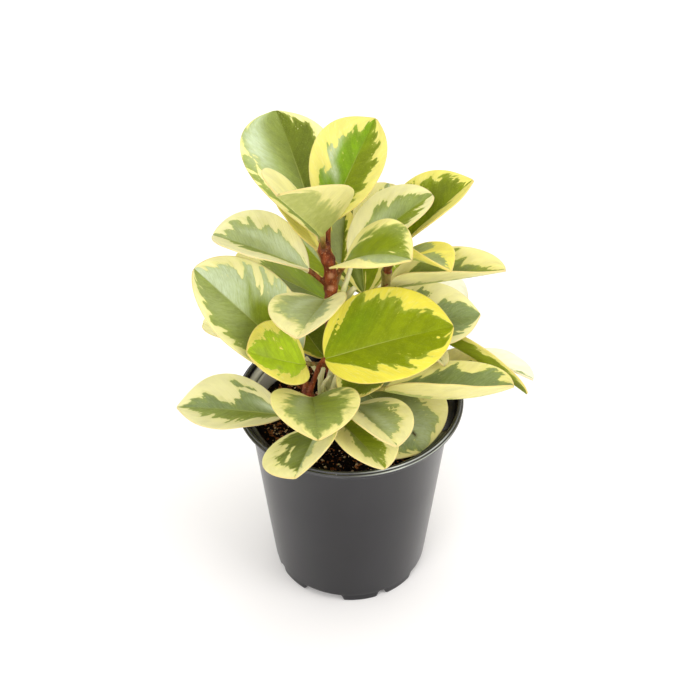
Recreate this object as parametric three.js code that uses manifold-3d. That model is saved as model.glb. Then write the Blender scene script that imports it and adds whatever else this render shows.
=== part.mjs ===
// A variegated peperomia in a round nursery pot: pot, soil, leafy stems and one solid for each leaf blade.
// Millimetres and degrees. +Z is up, the floor is z = 0, and the camera side of the plant is -Y.
import * as THREE from "three";
import { mergeVertices } from "three/addons/utils/BufferGeometryUtils.js";
import Module from "manifold-3d";

const wasm = await Module();
wasm.setup();

// Pot
const potHeight = 104;
const rimRadius = 54;
const lipWidth = 3;
const beadHeight = 2.2;
const collarHeight = 3;
const collarRadius = 51.6;
const wallTopRadius = 48.2;
const footRadius = 38.2;
const wallThickness = 1.6;
const footRingWidth = 3.4;
const floorUnderside = 4.5;
const floorThickness = 1.8;
const potSides = 36;

// Foot notches and drain holes, four times round
const notchRepeat = 90;
const wideNotch = { at: -20.5, span: 30 };
const narrowNotch = { at: 25, span: 6 };
const notchHeight = 4;
const drainRadius = 4;
const drainCircle = 24;
const holeSides = 10;

// Soil
const soilTop = 91;
const soilGap = 0.4;
const soilRings = 4;
const soilLump = 1.1;
const soilWaves = 7;
const soilSeed = 7;

// Stems, petioles and blades
const stemSides = 8;
const stemSteps = 8;
const stemHoleGap = 0.65;
const petioleRadius = 1.4;
const petioleSides = 6;
const petioleSteps = 4;
const bladeThickness = 1.2;
const bladeGap = 0.3;
const bladeSteps = 8;
const bladeHalfColumns = 2;
const bladeBaseHalfWidth = 1.7;
const bladeTipHalfWidth = 0.7;
const tipRoundness = 0.55;
const nearlyFlat = 1e-6;

const rad = THREE.MathUtils.degToRad;

const satinBlack = { color: 0x2b2a2c, roughness: 0.42, metalness: 0 };
const pottingSoil = { color: 0x1d1613, roughness: 0.95, metalness: 0 };
const reddishStem = { color: 0x8f4a2c, roughness: 0.5, metalness: 0 };
const creamGreenBlade = { color: 0xa9b45c, roughness: 0.4, metalness: 0 };

// Each stem: its radius and the points it runs through, from inside the soil to its growing tip
const stems = {
  stem_main: {
    radius: 2.9,
    points: [[-9, 1, 64], [-8.5, 0, 92], [-8.5, 0, 140], [-8.4, 0, 166], [-9, 0, 180], [-12.5, 1, 191]],
  },
  stem_front_left: {
    radius: 2.3,
    points: [[-14, -17, 66], [-14, -18, 92], [-15, -18.5, 108], [-17, -19, 117], [-21, -19.5, 125]],
  },
  stem_front_right: { radius: 2.2, points: [[-9, -10, 66], [-9, -11, 92], [-10, -12, 106], [-8, -13, 118]] },
  stem_right: { radius: 2.4, points: [[14, 14, 66], [14, 15, 92], [16, 19, 130], [17, 19, 166]] },
  stem_low_right: { radius: 2.2, points: [[34, 15, 66], [34, 16, 92], [36, 15, 114], [36, 13, 129]] },
  stem_back_left: { radius: 2.2, points: [[-22, 16, 66], [-22, 17, 92], [-24, 19, 112], [-25, 20, 121]] },
  stem_back: { radius: 2.2, points: [[5, 30, 66], [5, 31, 92], [5, 33, 120], [6, 34, 131]] },
};

// Each blade in one row, in this order: node, stem, height where its petiole leaves the stem, x, y
// and z of the blade's base, turn about Z (0 is +X, 270 faces the front), rise, length, width, roll
// (positive lifts the right side), bend down to the tip, fold of each half, curl of each half, and
// where it is widest, as a share of the way from base to tip.
const blades = [
  ["leaf_01", "stem_main", 183, -13, 6, 189, 117, 44, 61, 52, -18, 14, 0, -5, 0.67],
  ["leaf_02", "stem_main", 182, -9, 5, 199, 42, 56, 49, 40, -8, 10, 16, 12, 0.59],
  ["leaf_03", "stem_main", 188, -12, -4, 199, 243, 48, 54, 48, -3, 2, 42, 0, 0.48],
  ["leaf_04", "stem_main", 167, -18, -3, 179, 168, 16, 45, 41, -3, 11, 20, 12, 0.57],
  ["leaf_05", "stem_main", 142, -13, 23, 144, 190, 35, 48, 44, -10, 4, 6, 4, 0.36],
  ["leaf_06", "stem_main", 122, -24, -14, 137, 175, 48, 65, 45, 31, 0, 15, 16, 0.5],
  ["leaf_07", "stem_main", 154, -11, -7, 165, 255, 15, 43, 38, -10, 9, 23, 13, 0.56],
  ["leaf_08", "stem_front_left", 123, -20, -20, 139, 212, 35, 35, 35, 28, -4, 20, 4, 0.52],
  ["leaf_09", "stem_front_left", 121, -11, -22, 144, 9, 12, 57, 51, -20, 8, 12, 11, 0.47],
  ["leaf_10", "stem_main", 168, 0, 5, 180, 20, 32, 46, 35, 1, 12, 16, 12, 0.54],
  ["leaf_11", "stem_right", 162, 18, 20, 171, 17, 40, 51, 40, -4, 1, 30, 16, 0.54],
  ["leaf_12", "stem_main", 172, -2, -7, 184, 314, 30, 46, 37, -12, 36, 26, 2, 0.5],
  ["leaf_13", "stem_right", 164, 22, 6, 180, 314, 17, 36, 28, 18, 19, 22, 20, 0.54],
  ["leaf_14", "stem_right", 152, 19, 8, 162, 350, 17, 53, 32, -16, -4, 57, 15, 0.46],
  ["leaf_15", "stem_back", 102, -4, 38, 107, 112, -2, 46, 36, -6, 14, 14, 10, 0.56],
  ["leaf_16", "stem_right", 132, 11, 0, 142, 5, 8, 48, 41, -13, 3, 13, 9, 0.5],
  ["leaf_17", "stem_right", 136, 28, 20, 138, 27, -8, 36, 32, -32, 18, 26, 30, 0.6],
  ["leaf_18", "stem_front_right", 110, 16, -22, 127, 350, 10, 60, 38, 17, -48, 40, 4, 0.54],
  ["leaf_19", "stem_low_right", 126, 38, 9, 130, 331, -18, 53, 31, 32, 16, 31, -2, 0.51],
  ["leaf_20", "stem_low_right", 119, 56, 22, 110, 339, -8, 35, 28, 24, 18, 14, 8, 0.55],
  ["leaf_21", "stem_right", 112, 33, -1, 112, 3, 10, 33, 27, 11, 11, 13, 12, 0.58],
  ["leaf_22", "stem_front_left", 98, -30, -17, 106, 179, 5, 50.5, 42, -1, 7, 13, 8, 0.58],
  ["leaf_23", "stem_front_left", 112, -17, -26, 124, 275, 18, 44, 44, 2, 13, 26, 4, 0.54],
  ["leaf_24", "stem_front_left", 100, -13, -32, 114, 257, 12, 46, 40, -30, 4, 13, 9, 0.57],
  ["leaf_25", "stem_front_right", 98, -6, -21, 107, 300, 6, 43, 32, 8, 15, 16, 14, 0.54],
  ["leaf_26", "stem_front_right", 104, 2, -20, 114, 297, 13, 42, 34, 11, 14, 20, 18, 0.54],
  ["leaf_27", "stem_right", 97, 7, 4, 103, 310, -11, 43, 51, -8, 14, 7, 8, 0.56],
  ["leaf_28", "stem_right", 121, 14, -8, 128, 232, -2, 26, 24, 0, 14, 15, 11, 0.54],
  ["leaf_29", "stem_low_right", 127, 34, -1, 136, 302, -5, 17, 12, 10, 10, 34, 10, 0.5],
  ["leaf_30", "stem_main", 162, -4, 18, 166, 82, 52, 26, 14, 3, 14, 22, 10, 0.55],
  ["leaf_31", "stem_back_left", 104, -30, 24, 119, 172, 6, 42, 26, 6, 10, 14, 10, 0.55],
  ["leaf_32", "stem_right", 166, 11, 19, 176, 70, 48, 30, 27, 0, 12, 16, 10, 0.56],
  ["leaf_33", "stem_main", 174, -14, 7, 183, 128, 30, 40, 36, -6, 14, 16, 10, 0.56],
  ["leaf_34", "stem_right", 124, 20, 29, 132, 66, 4, 46, 36, 0, 16, 14, 10, 0.56],
  ["leaf_35", "stem_back", 127, 8, 34, 138, 97, 50, 44, 34, 4, 14, 15, 10, 0.57],
  ["leaf_36", "stem_back", 122, -2, 40, 134, 128, 16, 46, 36, -4, 14, 14, 10, 0.56],
  ["leaf_37", "stem_back", 112, 11, 39, 117, 62, 4, 46, 36, 4, 16, 14, 10, 0.56],
  ["leaf_38", "stem_low_right", 102, 34, 25, 107, 80, -2, 46, 34, 0, 16, 14, 10, 0.55],
  ["leaf_39", "stem_back_left", 116, -28, 26, 124, 138, 10, 46, 36, 0, 16, 14, 10, 0.56],
  ["leaf_40", "stem_main", 110, -12, 8, 120, 135, 30, 36, 30, 0, 10, 14, 8, 0.55],
];

// Closed solids from three.js geometry
function solidFrom(geometry) {
  const bare = geometry.index ? geometry.toNonIndexed() : geometry;
  bare.deleteAttribute("normal");
  bare.deleteAttribute("uv");
  const merged = mergeVertices(bare, 1e-4);
  return new wasm.Manifold(new wasm.Mesh({
    numProp: 3,
    vertProperties: new Float32Array(merged.attributes.position.array),
    triVerts: new Uint32Array(merged.index.array),
  }));
}

function geometryFrom(solid) {
  const mesh = solid.getMesh();
  const geometry = new THREE.BufferGeometry();
  geometry.setAttribute("position", new THREE.BufferAttribute(mesh.vertProperties, 3));
  geometry.setIndex(new THREE.BufferAttribute(mesh.triVerts, 1));
  geometry.computeVertexNormals();
  return geometry;
}

function turned(profile, sides) {
  const points = profile.map(([radius, height]) => new THREE.Vector2(radius, height));
  return new THREE.LatheGeometry(points, sides).rotateX(Math.PI / 2);
}

function rod(radius, low, high, x, y, sides) {
  const geometry = new THREE.CylinderGeometry(radius, radius, high - low, sides);
  return geometry.rotateX(Math.PI / 2).translate(x, y, (low + high) / 2);
}

function tube(path, radius, sides, steps) {
  const section = new THREE.Shape();
  for (let i = 0; i < sides; i += 1) {
    const turn = (2 * Math.PI * i) / sides;
    section[i ? "lineTo" : "moveTo"](radius * Math.cos(turn), radius * Math.sin(turn));
  }
  section.closePath();
  return new THREE.ExtrudeGeometry(section, { steps, extrudePath: path, bevelEnabled: false });
}

function seeded(seed) {
  let state = seed;
  return () => {
    state = (state * 16807) % 2147483647;
    return state / 2147483647;
  };
}

// Pot: one turned shell with a rolled lip, standing on a ring that is notched into feet
const beadFoot = potHeight - beadHeight;
const collarFoot = beadFoot - collarHeight;
const innerFoot = { radius: footRadius - wallThickness + 0.6, height: floorUnderside + floorThickness };
const innerShoulder = { radius: wallTopRadius - wallThickness, height: collarFoot };

function potSection() {
  return [
    [0, floorUnderside],
    [footRadius - footRingWidth, floorUnderside],
    [footRadius - footRingWidth, 0],
    [footRadius, 0],
    [wallTopRadius, collarFoot - 0.6],
    [collarRadius, collarFoot + 0.6],
    [collarRadius, beadFoot],
    [rimRadius, beadFoot],
    [rimRadius, potHeight - 0.7],
    [rimRadius - 0.8, potHeight],
    [rimRadius - lipWidth, potHeight],
    [collarRadius - wallThickness, innerShoulder.height + 1.6],
    [innerShoulder.radius, innerShoulder.height],
    [innerFoot.radius, innerFoot.height],
    [0, innerFoot.height],
  ];
}

function innerWallRadius(height) {
  const share = (height - innerFoot.height) / (innerShoulder.height - innerFoot.height);
  return innerFoot.radius + share * (innerShoulder.radius - innerFoot.radius);
}

function notch(centre, span) {
  const past = 2;
  const width = 2 * footRadius * Math.sin(rad(span / 2));
  const inner = (footRadius - footRingWidth) * Math.cos(rad(span / 2)) - past;
  const reach = footRadius + 2 * past - inner;
  const block = new THREE.BoxGeometry(reach, width, notchHeight + past);
  block.translate(inner + reach / 2, 0, (notchHeight - past) / 2);
  return block.rotateZ(rad(centre - 90));
}

function drainHole(turn) {
  const x = drainCircle * Math.cos(turn);
  const y = drainCircle * Math.sin(turn);
  return rod(drainRadius, 0, floorUnderside + 2 * floorThickness, x, y, holeSides);
}

function pot() {
  let shell = solidFrom(turned(potSection(), potSides));
  for (let quarter = 0; quarter < 360; quarter += notchRepeat) {
    for (const { at, span } of [wideNotch, narrowNotch]) {
      shell = shell.subtract(solidFrom(notch(quarter + at, span)));
    }
    shell = shell.subtract(solidFrom(drainHole(rad(quarter))));
  }
  return shell;
}

// Soil: it fills the pot below its lumpy top, with a plain hole for each stem
function soilLumps(random) {
  const waves = [];
  for (let i = 0; i < soilWaves; i += 1) {
    const turn = 2 * Math.PI * random();
    const length = 9 + 16 * random();
    waves.push([Math.cos(turn) / length, Math.sin(turn) / length, random()]);
  }
  return (x, y) => waves.reduce((sum, [kx, ky, shift]) => {
    return sum + (soilLump / 3) * Math.sin(2 * Math.PI * (x * kx + y * ky + shift));
  }, 0);
}

function stemHole({ radius, points }) {
  const [foot, next] = points.map((point) => new THREE.Vector3(...point));
  const above = next.clone().multiplyScalar(2).sub(foot);
  foot.z -= soilGap;
  return tube(new THREE.LineCurve3(foot, above), radius + stemHoleGap, holeSides, 1);
}

function soil() {
  const bottom = innerFoot.height + soilGap;
  const topRadius = innerWallRadius(soilTop - soilLump) - soilGap;
  const profile = [[0, bottom], [innerWallRadius(bottom) - soilGap, bottom]];
  for (let ring = soilRings; ring >= 0; ring -= 1) {
    profile.push([(topRadius * ring) / soilRings, soilTop]);
  }
  const body = turned(profile, potSides / 2);
  const lump = soilLumps(seeded(soilSeed));
  const place = body.attributes.position;
  for (let i = 0; i < place.count; i += 1) {
    if (place.getZ(i) > soilTop - 0.01) {
      place.setZ(i, soilTop + lump(place.getX(i), place.getY(i)));
    }
  }
  return Object.values(stems).reduce((earth, stemRow) => {
    return earth.subtract(solidFrom(stemHole(stemRow)));
  }, solidFrom(body));
}

// Blade: a thin curved shell, where s runs from base to tip and v from left edge, -1, to right, 1
function blade(row) {
  const [x, y, z, turn, rise, length, width, roll, bend, fold, curl, widest] = row.slice(3);
  return {
    base: new THREE.Vector3(x, y, z),
    length,
    halfWidth: width / 2,
    widest,
    turn: rad(turn),
    rise: rad(rise),
    roll: rad(roll),
    bend: rad(bend) || nearlyFlat,
    fold: rad(fold),
    curl: rad(curl) || nearlyFlat,
  };
}

function bladeFrame(leaf, s) {
  const start = leaf.rise + leaf.bend / 2;
  const pitch = start - leaf.bend * s;
  const level = new THREE.Vector3(Math.cos(leaf.turn), Math.sin(leaf.turn), 0);
  const along = level.clone().multiplyScalar(Math.cos(pitch)).setZ(Math.sin(pitch));
  const side = new THREE.Vector3(Math.sin(leaf.turn), -Math.cos(leaf.turn), 0);
  side.applyAxisAngle(along, -leaf.roll);
  const up = side.clone().cross(along);
  const arcRadius = leaf.length / leaf.bend;
  const centre = leaf.base.clone().addScaledVector(level, arcRadius * (Math.sin(start) - Math.sin(pitch)));
  centre.z += arcRadius * (Math.cos(pitch) - Math.cos(start));
  return { along, side, up, centre };
}

function bladeHalfWidth(leaf, s) {
  const rising = (tipRoundness * leaf.widest) / (1 - leaf.widest);
  const peak = leaf.widest ** rising * (1 - leaf.widest) ** tipRoundness;
  const oval = (leaf.halfWidth * s ** rising * (1 - s) ** tipRoundness) / peak;
  const least = bladeBaseHalfWidth + (bladeTipHalfWidth - bladeBaseHalfWidth) * s;
  return Math.max(oval, least);
}

function bladePoint(leaf, s, v) {
  const { side, up, centre } = bladeFrame(leaf, s);
  const halfWidth = bladeHalfWidth(leaf, s);
  const fold = leaf.fold * (1.25 - 0.5 * s);
  const edge = fold + leaf.curl * Math.abs(v);
  const across = (Math.sin(edge) - Math.sin(fold)) / leaf.curl;
  const lift = (Math.cos(fold) - Math.cos(edge)) / leaf.curl;
  centre.addScaledVector(side, Math.sign(v) * across * halfWidth);
  return centre.addScaledVector(up, lift * halfWidth);
}

function bladeNormal(leaf, s, v) {
  const step = 0.02;
  const towardTip = bladePoint(leaf, Math.min(s + step, 1), v);
  const towardBase = bladePoint(leaf, Math.max(s - step, 0), v);
  const towardRight = bladePoint(leaf, s, Math.min(v + step, 1));
  const towardLeft = bladePoint(leaf, s, Math.max(v - step, -1));
  return towardRight.sub(towardLeft).cross(towardTip.sub(towardBase)).normalize();
}

function bladeRim(columns, at) {
  const alongBase = Array.from({ length: columns - 1 }, (_, j) => at(0, j));
  const upRight = Array.from({ length: bladeSteps }, (_, i) => at(i, columns - 1));
  const alongTip = Array.from({ length: columns - 1 }, (_, j) => at(bladeSteps, columns - 1 - j));
  const downLeft = Array.from({ length: bladeSteps }, (_, i) => at(bladeSteps - i, 0));
  return [...alongBase, ...upRight, ...alongTip, ...downLeft];
}

function bladeSolid(leaf) {
  const columns = 2 * bladeHalfColumns + 1;
  const faces = [0.5, -0.5].map((side) => side * bladeThickness);
  const place = [];
  for (const offset of faces) {
    for (let i = 0; i <= bladeSteps; i += 1) {
      const s = (1 - Math.cos((Math.PI * i) / bladeSteps)) / 2;
      for (let j = 0; j < columns; j += 1) {
        const v = j / bladeHalfColumns - 1;
        const point = bladePoint(leaf, s, v).addScaledVector(bladeNormal(leaf, s, v), offset);
        place.push(point.x, point.y, point.z);
      }
    }
  }
  const under = (bladeSteps + 1) * columns;
  const at = (i, j) => i * columns + j;
  const index = [];
  for (let i = 0; i < bladeSteps; i += 1) {
    for (let j = 0; j < columns - 1; j += 1) {
      const top = [at(i, j), at(i, j + 1), at(i + 1, j + 1), at(i + 1, j)];
      const [a, b, c, d] = top;
      const [e, f, g, h] = top.map((k) => k + under);
      index.push(a, b, c, a, c, d, g, f, e, h, g, e);
    }
  }
  const ring = bladeRim(columns, at);
  ring.forEach((a, k) => {
    const b = ring[(k + 1) % ring.length];
    index.push(a, a + under, b + under, a, b + under, b);
  });
  const geometry = new THREE.BufferGeometry();
  geometry.setAttribute("position", new THREE.Float32BufferAttribute(place, 3));
  geometry.setIndex(index);
  geometry.computeVertexNormals();
  return geometry;
}

// Stem with the petioles that grow from it: each ends at its blade's base, square to the midrib
function pointAtHeight(path, height) {
  let low = 0;
  let high = 1;
  for (let i = 0; i < 30; i += 1) {
    const middle = (low + high) / 2;
    const below = path.getPoint(middle).z < height;
    low = below ? middle : low;
    high = below ? high : middle;
  }
  return path.getPoint(low);
}

function petiole(path, height, leaf) {
  const root = pointAtHeight(path, height);
  const { along } = bladeFrame(leaf, 0);
  const end = leaf.base.clone().addScaledVector(along, -bladeGap);
  const reach = end.distanceTo(root) / 3;
  const outward = end.clone().sub(root).normalize();
  const curve = new THREE.CubicBezierCurve3(
    root,
    root.clone().addScaledVector(outward, reach),
    end.clone().addScaledVector(along, -reach / 2),
    end,
  );
  return solidFrom(tube(curve, petioleRadius, petioleSides, petioleSteps));
}

function stem(name) {
  const { radius, points } = stems[name];
  const path = new THREE.CatmullRomCurve3(points.map((point) => new THREE.Vector3(...point)));
  let grown = solidFrom(tube(path, radius, stemSides, stemSteps));
  for (const row of blades.filter(([, carrier]) => carrier === name)) {
    const height = row[2];
    grown = grown.add(petiole(path, height, blade(row)));
  }
  return grown;
}

// Scene graph
function part(name, geometry, finish) {
  const mesh = new THREE.Mesh(geometry, new THREE.MeshStandardMaterial(finish));
  mesh.name = name;
  return mesh;
}

const plant = new THREE.Group();
plant.add(part("pot", geometryFrom(pot()), satinBlack));
plant.add(part("soil", geometryFrom(soil()), pottingSoil));
for (const name of Object.keys(stems)) {
  plant.add(part(name, geometryFrom(stem(name)), reddishStem));
}
for (const row of blades) {
  plant.add(part(row[0], bladeSolid(blade(row)), creamGreenBlade));
}

// The origin is on the floor, under the middle of the whole plant's box
const reach = new THREE.Box3().setFromObject(plant, true);
plant.position.set(-(reach.min.x + reach.max.x) / 2, -(reach.min.y + reach.max.y) / 2, 0);

export default plant;
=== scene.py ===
"""A variegated peperomia in a nursery pot: fine leaves, stems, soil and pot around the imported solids."""

import math
import random

import bpy
import numpy as np
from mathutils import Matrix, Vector


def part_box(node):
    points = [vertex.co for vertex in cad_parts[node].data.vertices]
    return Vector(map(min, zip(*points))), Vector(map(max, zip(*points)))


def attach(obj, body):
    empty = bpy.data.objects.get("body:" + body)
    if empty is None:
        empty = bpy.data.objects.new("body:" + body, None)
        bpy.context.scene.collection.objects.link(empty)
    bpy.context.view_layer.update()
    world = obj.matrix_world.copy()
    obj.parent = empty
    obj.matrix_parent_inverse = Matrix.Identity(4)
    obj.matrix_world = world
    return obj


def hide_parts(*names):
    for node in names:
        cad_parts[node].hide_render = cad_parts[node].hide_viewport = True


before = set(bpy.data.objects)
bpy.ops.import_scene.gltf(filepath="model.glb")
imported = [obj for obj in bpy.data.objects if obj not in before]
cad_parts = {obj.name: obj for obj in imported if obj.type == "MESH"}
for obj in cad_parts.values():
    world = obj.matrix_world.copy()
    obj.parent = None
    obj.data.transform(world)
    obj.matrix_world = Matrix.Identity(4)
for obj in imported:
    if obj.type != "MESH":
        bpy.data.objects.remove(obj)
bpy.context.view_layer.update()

MM = 0.001
pot_low, pot_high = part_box("pot")
AXIS = np.array([(pot_low.x + pot_high.x) / 2, (pot_low.y + pot_high.y) / 2, 0.0])

# Pot, in millimetres from the pot's axis and the floor
POT_HEIGHT = pot_high.z / MM
RIM_RADIUS = (pot_high.x - pot_low.x) / 2 / MM
LIP_WIDTH = 3.0
BEAD_HEIGHT = 2.2
COLLAR_HEIGHT = 3.0
COLLAR_FOOT = POT_HEIGHT - BEAD_HEIGHT - COLLAR_HEIGHT
COLLAR_RADIUS = 51.6
WALL_TOP_RADIUS = 48.2
FOOT_RADIUS = 38.2
WALL_THICKNESS = 1.6
FOOT_RING_WIDTH = 3.4
FLOOR_UNDERSIDE = 4.5
FLOOR_THICKNESS = 1.8
NOTCH_HEIGHT = 4.2
NOTCHES = ((-20.5, 30.0), (25.0, 6.0))
NOTCH_SLANT = 2.4
NOTCH_REPEAT = 90.0
POT_SIDES = 240

# Places along x: where the highlight painted on the lip's edges starts, is full, fades and ends, and where
# the light painted on the lit inner wall is full and ends
LIP_HIGHLIGHT_SPAN = (-8, 18, 36, 47)
LIT_LINING_SPAN = (-36, -20)

# Soil, and the kinds of its chips: dark earth, bark and pale fibre or clay
SOIL_TOP = 91.0
SOIL_RINGS = 64
SOIL_SIDES = 160
SOIL_CHIPS = 3400
CHIP_SIZES = (0.2, 0.26, 0.32, 0.4, 0.52, 0.75)
EARTH, BARK, PALE = 0.1, 0.6, 1.0
BARK_SIDE = -18

# Stems and blades: sizes in millimetres, slopes and shares without a unit
PETIOLE_RADIUS = 1.35
PETIOLE_SEAT = 0.6
BLADE_THICKNESS = 1.0
RIM_BULGE = 0.16
BLADE_STEPS = 68
BASE_HALF_WIDTH = 1.5
TIP_HALF_WIDTH = 0.35
TIP_ROUNDNESS = 0.55
TIP_SLOPE = 6.0
VEINS = 11.0
VEIN_SLANT = 0.36
EDGE_WAVE = 0.22
PUCKER = 0.05
BASE_SWELLING = 0.45
GROOVE_DEPTH = 0.32
RIB_HEIGHT = 0.5
MIDRIB_BLEND = 0.06
FINE_GRAIN = 1900.0
FUSING_STEP = 0.42

# Waves of the green's edge, from broad lobes to fine frays: stretch, detail and reach
EDGE_WAVES = (((11.0, 2.4, 1.0), 1.0, 0.62), ((27.0, 8.0, 1.0), 1.0, 0.24), ((70.0, 40.0, 1.0), 2.0, 0.05))

# Camera, in metres from the pot's axis and the floor
CAMERA_PLACE = (0.0001, -0.4829, 0.5258)
CAMERA_PITCH = 39.23
CAMERA_LENS = 69.4

# Floor, sky and lights: the side that each light shines from, its strength and its spread
FLOOR_SIZE = 30
SKY_STRENGTH = 0.82
LIGHTS = {
    "key": ((0.75, -0.4, 0.85), 0.66, 28),
    "front": ((-0.45, -1.0, 0.75), 1.12, 40),
    "side": ((1.0, -0.1, 0.3), 0.3, 40),
    "top": ((0.15, 0.3, 1.0), 0.56, 45),
}

# Each stem: its radius and the points it runs through, from inside the soil to its growing tip
STEMS = {
    "stem_main": (2.9, [(-9, 1, 64), (-8.5, 0, 92), (-8.5, 0, 140), (-8.4, 0, 166), (-9, 0, 180),
                        (-12.5, 1, 191)]),
    "stem_front_left": (2.3, [(-14, -17, 66), (-14, -18, 92), (-15, -18.5, 108), (-17, -19, 117),
                              (-21, -19.5, 125)]),
    "stem_front_right": (2.2, [(-9, -10, 66), (-9, -11, 92), (-10, -12, 106), (-8, -13, 118)]),
    "stem_right": (2.4, [(14, 14, 66), (14, 15, 92), (16, 19, 130), (17, 19, 166)]),
    "stem_low_right": (2.2, [(34, 15, 66), (34, 16, 92), (36, 15, 114), (36, 13, 129)]),
    "stem_back_left": (2.2, [(-22, 16, 66), (-22, 17, 92), (-24, 19, 112), (-25, 20, 121)]),
    "stem_back": (2.2, [(5, 30, 66), (5, 31, 92), (5, 33, 120), (6, 34, 131)]),
}

# Each blade in one row, under its stem: number, height where its petiole leaves the stem, x, y and z of
# the blade's base, turn about Z, rise, length, width, roll, bend, fold, curl and widest. The rows are the
# solids' own, but for 5, 9, 12, 13, 16, 17, 19, 21, 27, 33 and 35, which are brought nearer to the photo.
BLADES = {
    "stem_main": [
        (1, 183, -13, 6, 189, 117, 44, 61, 52, -18, 14, 0, -5, 0.67),
        (2, 182, -9, 5, 199, 42, 56, 49, 40, -8, 10, 16, 12, 0.59),
        (3, 188, -12, -4, 199, 243, 48, 54, 48, -3, 2, 42, 0, 0.48),
        (4, 167, -18, -3, 179, 168, 16, 45, 41, -3, 11, 20, 12, 0.57),
        (5, 142, -9.8, 23.6, 141.7, 190, 35, 52, 46, -10, 4, 6, 4, 0.33),
        (6, 122, -24, -14, 137, 175, 48, 65, 45, 31, 0, 15, 16, 0.5),
        (7, 154, -11, -7, 165, 255, 15, 43, 38, -10, 9, 23, 13, 0.56),
        (10, 168, 0, 5, 180, 20, 32, 46, 35, 1, 12, 16, 12, 0.54),
        (12, 172, -2, -7, 184.6, 314, 30, 46, 35, -17, 36, 22, 2, 0.47),
        (30, 162, -4, 18, 166, 82, 52, 26, 14, 3, 14, 22, 10, 0.55),
        (33, 174, -14, 7, 183, 128, 30, 33, 19, -6, 14, 16, 10, 0.56),
        (40, 110, -12, 8, 120, 135, 30, 36, 30, 0, 10, 14, 8, 0.55),
    ],
    "stem_front_left": [
        (8, 123, -20, -20, 139, 212, 35, 35, 35, 28, -4, 20, 4, 0.52),
        (9, 121, -11, -22, 144, 8, 12, 59, 51, -20, 8, 12, 11, 0.47),
        (22, 98, -30, -17, 106, 179, 5, 50.5, 42, -1, 7, 13, 8, 0.58),
        (23, 112, -17, -26, 124, 275, 18, 44, 44, 2, 13, 26, 4, 0.54),
        (24, 100, -13, -32, 114, 257, 12, 46, 40, -30, 4, 13, 9, 0.57),
    ],
    "stem_front_right": [
        (18, 110, 16, -22, 127, 350, 10, 60, 38, 17, -48, 40, 4, 0.54),
        (25, 98, -6, -21, 107, 300, 6, 43, 32, 8, 15, 16, 14, 0.54),
        (26, 104, 2, -20, 114, 297, 13, 42, 34, 11, 14, 20, 18, 0.54),
    ],
    "stem_right": [
        (11, 162, 18, 20, 171, 17, 40, 51, 40, -4, 1, 30, 16, 0.54),
        (13, 164, 22, 6, 180, 310, 17, 34.5, 29, 18, 19, 22, 20, 0.54),
        (14, 152, 19, 8, 162, 350, 17, 53, 32, -16, -4, 57, 15, 0.46),
        (16, 132, 11, 0, 142, 5, 8, 49.5, 41, -13, 3, 13, 9, 0.5),
        (17, 136, 28, 20, 138, 27, -8, 33, 30, -32, 18, 26, 30, 0.6),
        (21, 112, 33, -1, 116.5, 3, 10, 33, 27, 11, 11, 13, 12, 0.58),
        (27, 97, 7, 4, 103, 309, -11, 44, 53, -8, 14, 7, 8, 0.56),
        (28, 121, 14, -8, 128, 232, -2, 26, 24, 0, 14, 15, 11, 0.54),
        (32, 166, 11, 19, 176, 70, 48, 30, 27, 0, 12, 16, 10, 0.56),
        (34, 124, 20, 29, 132, 66, 4, 46, 36, 0, 16, 14, 10, 0.56),
    ],
    "stem_low_right": [
        (19, 126, 38, 10, 133.5, 331, -18, 53, 22, 46, 16, 31, -2, 0.51),
        (20, 119, 56, 22, 110, 339, -8, 35, 28, 24, 18, 14, 8, 0.55),
        (29, 127, 34, -1, 136, 302, -5, 17, 12, 10, 10, 34, 10, 0.5),
        (38, 102, 34, 25, 107, 80, -2, 46, 34, 0, 16, 14, 10, 0.55),
    ],
    "stem_back_left": [
        (31, 104, -30, 24, 119, 172, 6, 42, 26, 6, 10, 14, 10, 0.55),
        (39, 116, -28, 26, 124, 138, 10, 46, 36, 0, 16, 14, 10, 0.56),
    ],
    "stem_back": [
        (15, 102, -4, 38, 107, 112, -2, 46, 36, -6, 14, 14, 10, 0.56),
        (35, 127, 7, 34, 138, 97, 50, 44, 38, 4, 14, 15, 10, 0.57),
        (36, 122, -2, 40, 134, 128, 16, 46, 36, -4, 14, 14, 10, 0.56),
        (37, 112, 11, 39, 117, 62, 4, 46, 36, 4, 16, 14, 10, 0.56),
    ],
}

# Greens of the variegation in even light, and how waxy each is: wax raises the gloss and whitens the green
# with a painted sheen, a reflection painted into the colour
TONES = {
    "vivid": ((120, 154, 6), 0.0),
    "lime": ((172, 196, 34), 0.0),
    "fresh": ((133, 147, 2), 0.0),
    "olive": ((124, 138, 22), 0.0),
    "leaf": ((136, 149, 60), 0.1),
    "deep": ((98, 110, 22), 0.0),
    "slate": ((118, 133, 66), 0.2),
    "grey": ((150, 160, 88), 0.3),
    "wax_and_sheen": ((166, 178, 110), 1.0),
    "torn": ((58, 30, 20), 0.0),
}


def marks(warm, left_tone, right_tone, left, right, *spots, soft=0, below=100):
    """Markings of a blade, with its numbers in hundredths: first how yellow its cream is.

    A half is green from the midrib outward, to a share of its width that is given at six places from
    base to tip. Each spot is a soft oval with its place s and v, its reach along and across the blade
    and its strength: it cuts the green back to "cream", spreads the "green", or tints it with a tone.
    Soft blurs the green's edge, and below is how pale the underside is.
    """
    spots = [(kind, *(value / 100 for value in values)) for kind, *values in spots]
    return {"warm": warm / 100, "tones": (left_tone, right_tone), "left": np.array(left) / 100,
            "right": np.array(right) / 100, "spots": spots, "soft": soft / 100, "below": below / 100}


# A half or spot with a waxy tone gets a whitish sheen painted into its green, standing for a reflection
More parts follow.
